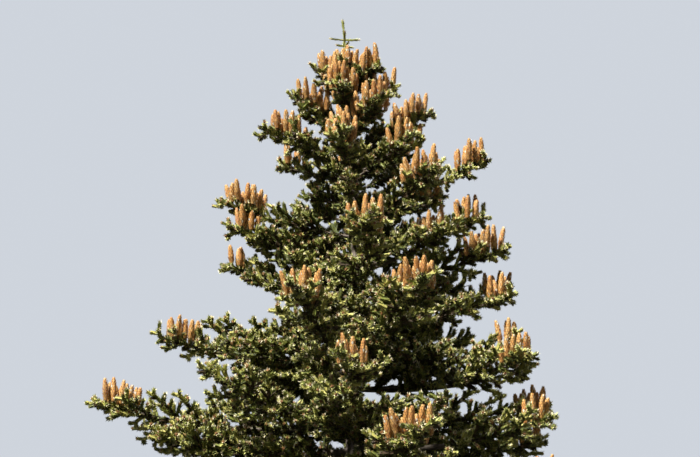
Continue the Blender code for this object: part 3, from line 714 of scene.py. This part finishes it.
# more boughs of the upper crown, with no solid of their own:
# bearing, reach, tip height, seed cones and, where it isn't 0, the share that is bare
extraBoughs = (
    (190, 0.90, 6.86, 3), (168, 0.76, 6.86, 0), (322, 0.82, 6.72, 5, 0.40), (4, 1.32, 5.38, 6, 0.35),
    (338, 1.42, 5.38, 3, 0.45), (194, 1.38, 5.32, 0), (176, 1.02, 6.20, 0), (346, 0.52, 7.52, 2),
    (210, 0.50, 7.52, 0), (320, 0.55, 7.48, 3), (12, 0.62, 6.74, 0, 0.50), (202, 1.52, 4.98, 0),
    (338, 1.46, 4.98, 3), (255, 1.05, 6.20, 0), (352, 0.40, 7.72, 0), (195, 0.40, 7.76, 0),
    (178, 0.34, 7.16, 0), (190, 0.76, 6.50, 0), (356, 0.66, 7.14, 4), (10, 0.62, 6.22, 0),
    (262, 0.60, 7.48, 4, 0.30), (344, 1.12, 6.31, 3, 0.50), (348, 0.94, 6.92, 3, 0.50),
    (262, 0.80, 5.42, 0), (285, 0.76, 5.12, 0), (272, 0.90, 4.84, 0), (300, 0.60, 5.85, 0),
    (186, 0.80, 5.86, 0), (344, 1.20, 5.98, 2), (262, 0.15, 8.10, 4), (25, 0.15, 8.04, 3),
    (300, 0.22, 8.02, 4), (225, 0.26, 7.96, 3), (352, 1.22, 5.83, 0, 0.60), (4, 0.80, 6.50, 0),
    (162, 0.44, 7.08, 0, 0.30), (20, 0.88, 6.16, 0, 0.40), (188, 1.42, 5.36, 0, 0.40),
    (150, 0.34, 7.22, 0),
)
# others on its far side, and short ones in between all round, by a rule
backBoughs = dict(
    count=14, fromHeight=7.70, toHeight=4.95,
    firstBearing=46.0, spread=92.0,
    reach=(0.76, 0.92),     # shares of the crown's reach at that height
    cones=6, coneless=3,    # every third has none
    coarse=1.2,
)
fillers = dict(
    top=dict(count=26, fromHeight=8.02, toHeight=5.2, reach=(0.45, 0.66)),
    low=dict(count=30, fromHeight=5.1, toHeight=2.0, reach=(0.72, 0.93)),
    firstBearing=20.0, turn=137.5,
)


def listedBough(name, bearing, reach, tipHeight, cones, bare=0.0):
    return Bough(name, bearing, reach, tipHeight, round(cones * seedCone["more"]), bare)


def fillerBoughs(draw):
    # heights go down in even steps at the back, and as (i / last)^0.85 for the fillers
    made = [listedBough(f"extra{i}", *row) for i, row in enumerate(extraBoughs)]
    b = backBoughs
    for i in range(b["count"]):
        height = b["fromHeight"] + (b["toHeight"] - b["fromHeight"]) * i / (b["count"] - 1)
        bearing = b["firstBearing"] + b["spread"] * (i * goldenShare % 1)
        reach = crownReach(height) * draw.uniform(*b["reach"])
        made.append(Bough(f"back{i}", bearing, reach, height, b["cones"] if i % b["coneless"] else 0))
        made[-1].coarse = b["coarse"]
    for group in (fillers["top"], fillers["low"]):
        for i in range(group["count"]):
            share = (i / (group["count"] - 1)) ** 0.85
            height = group["fromHeight"] + (group["toHeight"] - group["fromHeight"]) * share
            bearing = (fillers["firstBearing"] + i * fillers["turn"]) % 360
            span = crownReach(height) * draw.uniform(*group["reach"])
            made.append(Bough(f"filler{len(made)}", bearing, span, height))
    return made


rng = np.random.default_rng(tree["seed"])
for row in (*topBoughs, *lowBoughs()):
    bough = listedBough(*row)
    growBough(bough, ["foliage_" + bough.name], rng)
    growCones(bough, rng)
for bough in fillerBoughs(rng):
    growBough(bough, [], rng)
    growCones(bough, rng)

stemShoots = dict(fromHeight=4.4, toHeight=8.18, step=0.012, length=(0.07, 0.12))


def growStemShoots(rng):
    # short shoots straight from the trunk, round it by golden turns, that hide its thin top
    s = stemShoots
    grower = Grower(1.0, None, rng)
    heights = np.arange(s["fromHeight"], s["toHeight"], s["step"])
    for height, turn in zip(heights, np.arange(len(heights)) * goldenTurn):
        way = [math.cos(turn), math.sin(turn), rng.uniform(0.3, 1.0)]
        grower.shoot(trunkCentre(height), way, rng.uniform(*s["length"]), 0.9, rng.uniform(0.3, 1.0))
    grown.append([s["toHeight"], [], grower.rows])


growStemShoots(rng)
print(f"grown: {sum(len(g[2]) for g in grown):,} shoots, {len(twigs):,} twigs, {len(cones)} cones")

leader = dict(
    girth=0.0165, stemShare=0.86, years=5,
    shoots=4,  # in each whorl: its share of the way up, their length, and the first one's bearing
    whorls=((0.575, 0.118, 9.0), (0.42, 0.068, 108.0), (0.30, 0.040, 50.0)),
)


def growLeader(rng):
    # rows as a bough's: yearly segments up the leading shoot, and short shoots in whorls round it
    foot, top = trunkCentre(tree["trunkTop"] - 0.03), trunkCentre(tree["height"])
    line = foot + np.linspace(0, 1, leader["years"] + 1)[:, None] * (top - foot)
    rows = []
    for i, (a, b) in enumerate(zip(line[:-1], line[1:])):
        last = i == leader["years"] - 1
        rows.append((*a, *unit(b - a), np.linalg.norm(b - a) * (1.4 if last else 1.05),
                     leader["girth"] * (1 if last else leader["stemShare"]), 0.0, 1.0 if i > 1 else 0.4))
    for share, length, turn in leader["whorls"]:
        for k in range(leader["shoots"]):
            angle = math.radians(turn + 360 * k / leader["shoots"] + rng.uniform(-8, 8))
            way = unit([math.cos(angle), math.sin(angle), rng.uniform(-0.03, 0.10)])
            rows.append((*(foot + (top - foot) * share), *way, length * rng.uniform(0.9, 1.05),
                         leader["girth"] * 0.80, 0.04, 1.0))
    return rows


needleSet = plainFinishes(needleTones, **needleFinish)
forms = {
    "fine": [shootForm(25, rng) for _ in range(8)],
    "broad": [shootForm(23, rng) for _ in range(8)],
    "leader": [shootForm(40, rng) for _ in range(2)],
}
pieceLimit = 185_000  # triangles

shade = dict(
    inside=0.30, gain=0.95,     # light next to the trunk, and how fast it grows outwards
    # darkest, range and lowDarker set the painted shade: dark inside the crown and on its lower part
    darkest=0.7, range=3.0, outerPower=1.2, lowDarker=0.55, chance=0.55,
    waxyShare=0.12,             # of the lit shoots show the pale bands under their needles
    # the share of the outer shoots whose end needles are a step paler still, partly new growth and partly a
    # painted highlight on lit rims, then the share with buds
    paleTipsHighlight=0.7, buds=0.45,    # shares of the outer shoots
)


def toneOf(base, outer, rng):
    # tone = darkest + range * lit * outer^outerPower - lowDarker * lowness, with chance between the
    # steps, where lit = inside + gain * (distance from the trunk / the crown's reach there). This is
    # painted shade: darker next to the trunk, at the inner ends of twigs and under boughs, and on the
    # lower crown, where the older needles are also darker in their own colour.
    height = base[:, 2]
    away = np.hypot(base[:, 0] - trunkCentre(height)[:, 0], base[:, 1])
    away = away / crownReach(np.minimum(height, 8.3))
    lit = np.clip(shade["inside"] + shade["gain"] * away, 0, 1)
    level = (shade["darkest"] + shade["range"] * lit * outer ** shade["outerPower"]
             - shade["lowDarker"] * lowness(height) + rng.normal(0, shade["chance"], len(base)))
    return np.round(np.clip(level, 0, 4.49)).astype(int)


def buildNeedles(name, kind, rows, replaced, rng):
    # a form at every row, turned by chance about its own line, with a tone for each of its parts
    data = np.array(rows)
    base, forward = data[:, 0:3], data[:, 3:6]
    length, girth, bend, outer = data[:, 6:10].T
    pick = rng.integers(0, len(forms[kind]), len(data))
    up = unit(rng.normal(0, 1, (len(data), 3)))
    points, faces, slots = [], [], []
    offset = 0
    for which, form in enumerate(forms[kind]):
        mine = pick == which
        if not mine.any():
            continue
        placed, tris = placeForms(form, base[mine], forward[mine], up[mine],
                                  length[mine], girth[mine], bend[mine])
        count = mine.sum()
        body = np.full(count, 4) if kind == "leader" else toneOf(base[mine], outer[mine], rng)
        # the middle of a shoot is a step darker than its needles, and some of its faces two: painted shade
        # among the needles
        core = np.clip(body - 1, 0, 4)
        rough = np.clip(body - 2, 0, 4)
        bright = np.where((body > 1) & (rng.random(count) < shade["waxyShare"]), waxyTone, body)
        # the end needles are a step paler than the body, two on some outer shoots: this year's paler growth,
        # brightened as a painted highlight on the lit rims
        paler = (outer[mine] > 0.7) * (rng.random(count) < shade["paleTipsHighlight"])
        tip = np.clip(body + 1 + paler, 0, tipHighlightTone)
        bud = np.where((outer[mine] > 0.6) & (rng.random(count) < shade["buds"]), budTone, rough)
        table = np.stack([core, body, tip, rough, bud, bright], -1)  # in the order of shootForm's parts
        points.append(placed)
        faces.append(tris + offset)
        slots.append(table[:, form[2]].reshape(-1))
        offset += len(placed)
    newPiece(name, np.vstack(points), np.vstack(faces), np.concatenate(slots), needleSet,
             False, replaced)


def kindOf(height):
    # the larger shoots of the lower crown have broader forms with fewer needles
    return "broad" if sizeAt(height) > 1.3 else "fine"


def buildCrown(rng):
    # boughs of like height go into one piece, from the top down, until it has enough triangles
    order = sorted(grown, key=lambda g: -g[0])
    batch, nodes, tris, kind, number = [], [], 0, "fine", 0
    for height, names, rows in order + [(-1.0, [], None)]:
        cost = 0 if rows is None else len(rows) * len(forms[kindOf(height)][0][1])
        if batch and (rows is None or tris + cost > pieceLimit or kindOf(height) != kind):
            number += 1
            buildNeedles(f"needles{number:02d}", kind, batch, nodes, rng)
            batch, nodes, tris = [], [], 0
        if rows is not None:
            kind = kindOf(height)
            batch, nodes, tris = batch + rows, nodes + names, tris + cost


buildCrown(rng)
buildNeedles("leaderNeedles", "leader", growLeader(rng), ["leading_shoot"], rng)

# in steps of coneTones: the middle, and how far whole cones and single scales stray from it
coneColour = dict(middle=2.4, byCone=0.40, byScale=0.85, resinShare=0.055)


def buildCones(rng):
    # one form at every foot, each bent to one side by bend * length * t^2. A scale's tone varies about
    # its cone's, the core's is the first, a painted shade between the scales, and a few scales are resin
    data = np.array(cones)
    form = coneForm(rng)
    points, scaleOf, scales = form[0], form[2], form[3]
    base, forward = data[:, 0:3], data[:, 3:6]
    length, radius, bend = data[:, 6:9].T
    count = len(data)
    up = unit(rng.normal(0, 1, (count, 3)))
    placed, quads = placeForms(form, base, forward, up, length, radius, np.zeros(count))
    bent = (bend[:, None] * length[:, None] * points[:, 0] ** 2)[..., None]
    placed = placed.reshape(count, -1, 3) + np.cross(forward, up)[:, None] * bent
    tone = (coneColour["middle"] + rng.normal(0, coneColour["byCone"], (count, 1))
            + rng.normal(0, coneColour["byScale"], (count, scales)))
    tone = np.clip(np.round(tone), 1, 4)
    tone = np.where(rng.random((count, scales)) < coneColour["resinShare"], 5, tone).astype(int)
    slots = np.where(scaleOf[None, :] < 0, 0, tone[:, np.maximum(scaleOf, 0)])
    newPiece("seedCones", placed.reshape(-1, 3), quads, slots.reshape(-1),
             plainFinishes(coneTones, **coneFinish), False)


buildCones(rng)

trunkBark = dict(
    around=56, along=360, footRadius=0.124, tipRadius=0.006, taper=0.86,
    flareHeight=0.55, flareRadius=0.075, rootRidges=5,
    plateDepth=0.0035, crackWidth=1.3,
    # the waves of its cracked plates: how many go round, how many radians to the metre, and their weight
    waves=((5, 9, 1.0), (8, -14, 0.8), (13, 21, 0.7), (11, -33, 0.6), (19, 40, 0.5), (3, 55, 0.5)),
)


def barkRelief(angle, height, draw):
    # waves round and up the trunk: 1 - |sum of weight * cos(m * angle + k * height + phase)| / crackWidth
    total = np.zeros_like(angle)
    for m, k, weight in trunkBark["waves"]:
        total += weight * np.cos(m * angle + k * height + draw.uniform(0, 2 * math.pi))
    return 1 - np.minimum(1, np.abs(total) / trunkBark["crackWidth"])


def buildTrunk(rng):
    # radius = tip + (foot - tip) * u^taper, where u = 1 - z / height, plus a flare that fades as
    # (1 - z / flareHeight)^2 and swells over the roots, less the cracks
    b = trunkBark
    # rings stand closer together at the foot, and the top ends inside the leading shoot
    heights = (tree["trunkTop"] + 0.02) * np.linspace(0, 1, b["along"]) ** 1.12
    angles = 2 * math.pi * np.arange(b["around"]) / b["around"]
    angle, height = np.meshgrid(angles, heights)
    u = 1 - height / tree["height"]
    radius = b["tipRadius"] + (b["footRadius"] - b["tipRadius"]) * u ** b["taper"]
    foot = np.maximum(0, 1 - height / b["flareHeight"]) ** 2
    ridge = 0.5 + 0.5 * np.cos(b["rootRidges"] * angle)
    radius = radius + foot * b["flareRadius"] * (0.45 + 0.55 * ridge)
    depth = b["plateDepth"] * np.clip(radius / 0.08, 0.1, 1.2)
    radius = radius - depth * barkRelief(angle, height, rng) ** 2
    centre = trunkCentre(heights)
    points = np.stack([centre[:, None, 0] + radius * np.cos(angle), radius * np.sin(angle), height], -1)
    return points.reshape(-1, 3), closedSleeve(*radius.shape)


def buildWood(rng):
    # the trunk and the boughs in one piece, and the fine twigs in another
    trunkPoints, trunkFaces = buildTrunk(rng)
    boughPoints, boughFaces = tubes([chain for chain in twigs if len(chain) > 2])
    faces = np.vstack([trunkFaces, boughFaces + len(trunkPoints)])
    limbNodes = [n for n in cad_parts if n.startswith("bough_")]
    newPiece("bark", np.vstack([trunkPoints, boughPoints]), faces, np.zeros(len(faces), int),
             [woodFinish("firBark")], True, ["trunk", *limbNodes])
    points, faces = tubes([chain for chain in twigs if len(chain) == 2])
    newPiece("twigs", points, faces, np.zeros(len(faces), int), [woodFinish("firTwig")], True)


buildWood(rng)

studio = dict(
    floorColour=(0.145, 0.145, 0.142), floorRoughness=0.9, floorHalf=60.0,
    skyColour=(0.92, 0.92, 0.90), skyStrength=0.15, backdropColour=(0.62, 0.66, 0.72),
    keyStrength=14.0, keyAngle=6.0, keyFrom=(-0.50, -0.64, 0.92), keyColour=(1.0, 0.96, 0.89),
    backStrength=3.2, backAngle=25.0, backFrom=(0.55, 0.80, 0.70), backColour=(0.95, 0.97, 1.0),
)
view = dict(place=(0.02, -14.032, 1.6), aim=(0.02, 0.0, 6.9), lens=110.0, sensor=36.0)


def buildStudio():
    # a pale floor, soft even light, a plain backdrop that only the camera sees, two suns and the camera
    floorMesh = bpy.data.meshes.new("floor")
    half = studio["floorHalf"]
    corners = [(-half, -half, 0), (half, -half, 0), (half, half, 0), (-half, half, 0)]
    floorMesh.from_pydata(corners, [], [(0, 1, 2, 3)])
    floorMesh.materials.append(Finish("floorPale", studio["floorColour"], studio["floorRoughness"]).material)
    floor = newObject("floor", floorMesh)
    floor.visible_diffuse = False  # the floor throws no light up into the crown
    world = bpy.data.worlds.new("softStudio")
    world.use_nodes = True
    nodes, links = world.node_tree.nodes, world.node_tree.links
    background, backdrop = nodes["Background"], nodes.new("ShaderNodeBackground")
    background.inputs["Color"].default_value = (*studio["skyColour"], 1)
    background.inputs["Strength"].default_value = studio["skyStrength"]
    backdrop.inputs["Color"].default_value = (*studio["backdropColour"], 1)
    seen, mixed = nodes.new("ShaderNodeLightPath"), nodes.new("ShaderNodeMixShader")
    links.new(seen.outputs["Is Camera Ray"], mixed.inputs[0])
    links.new(background.outputs[0], mixed.inputs[1])
    links.new(backdrop.outputs[0], mixed.inputs[2])
    links.new(mixed.outputs[0], nodes["World Output"].inputs["Surface"])
    scene.world = world
    for name in ("key", "back"):
        lamp = bpy.data.lights.new(name, "SUN")
        lamp.energy = studio[name + "Strength"]
        lamp.angle = math.radians(studio[name + "Angle"])
        lamp.color = studio[name + "Colour"]
        lampObject = newObject(name, lamp)
        lampObject.rotation_euler = Vector(studio[name + "From"]).to_track_quat("Z", "Y").to_euler()
    camera = bpy.data.cameras.new("camera")
    camera.lens, camera.sensor_width = view["lens"], view["sensor"]
    camera.clip_end = 200
    cameraObject = newObject("camera", camera)
    cameraObject.location = view["place"]
    aim = Vector(view["aim"]) - Vector(view["place"])
    cameraObject.rotation_euler = aim.to_track_quat("-Z", "Y").to_euler()
    bpy.context.scene.camera = cameraObject


buildStudio()
scene.view_settings.view_transform = "Standard"
print("studio ready")
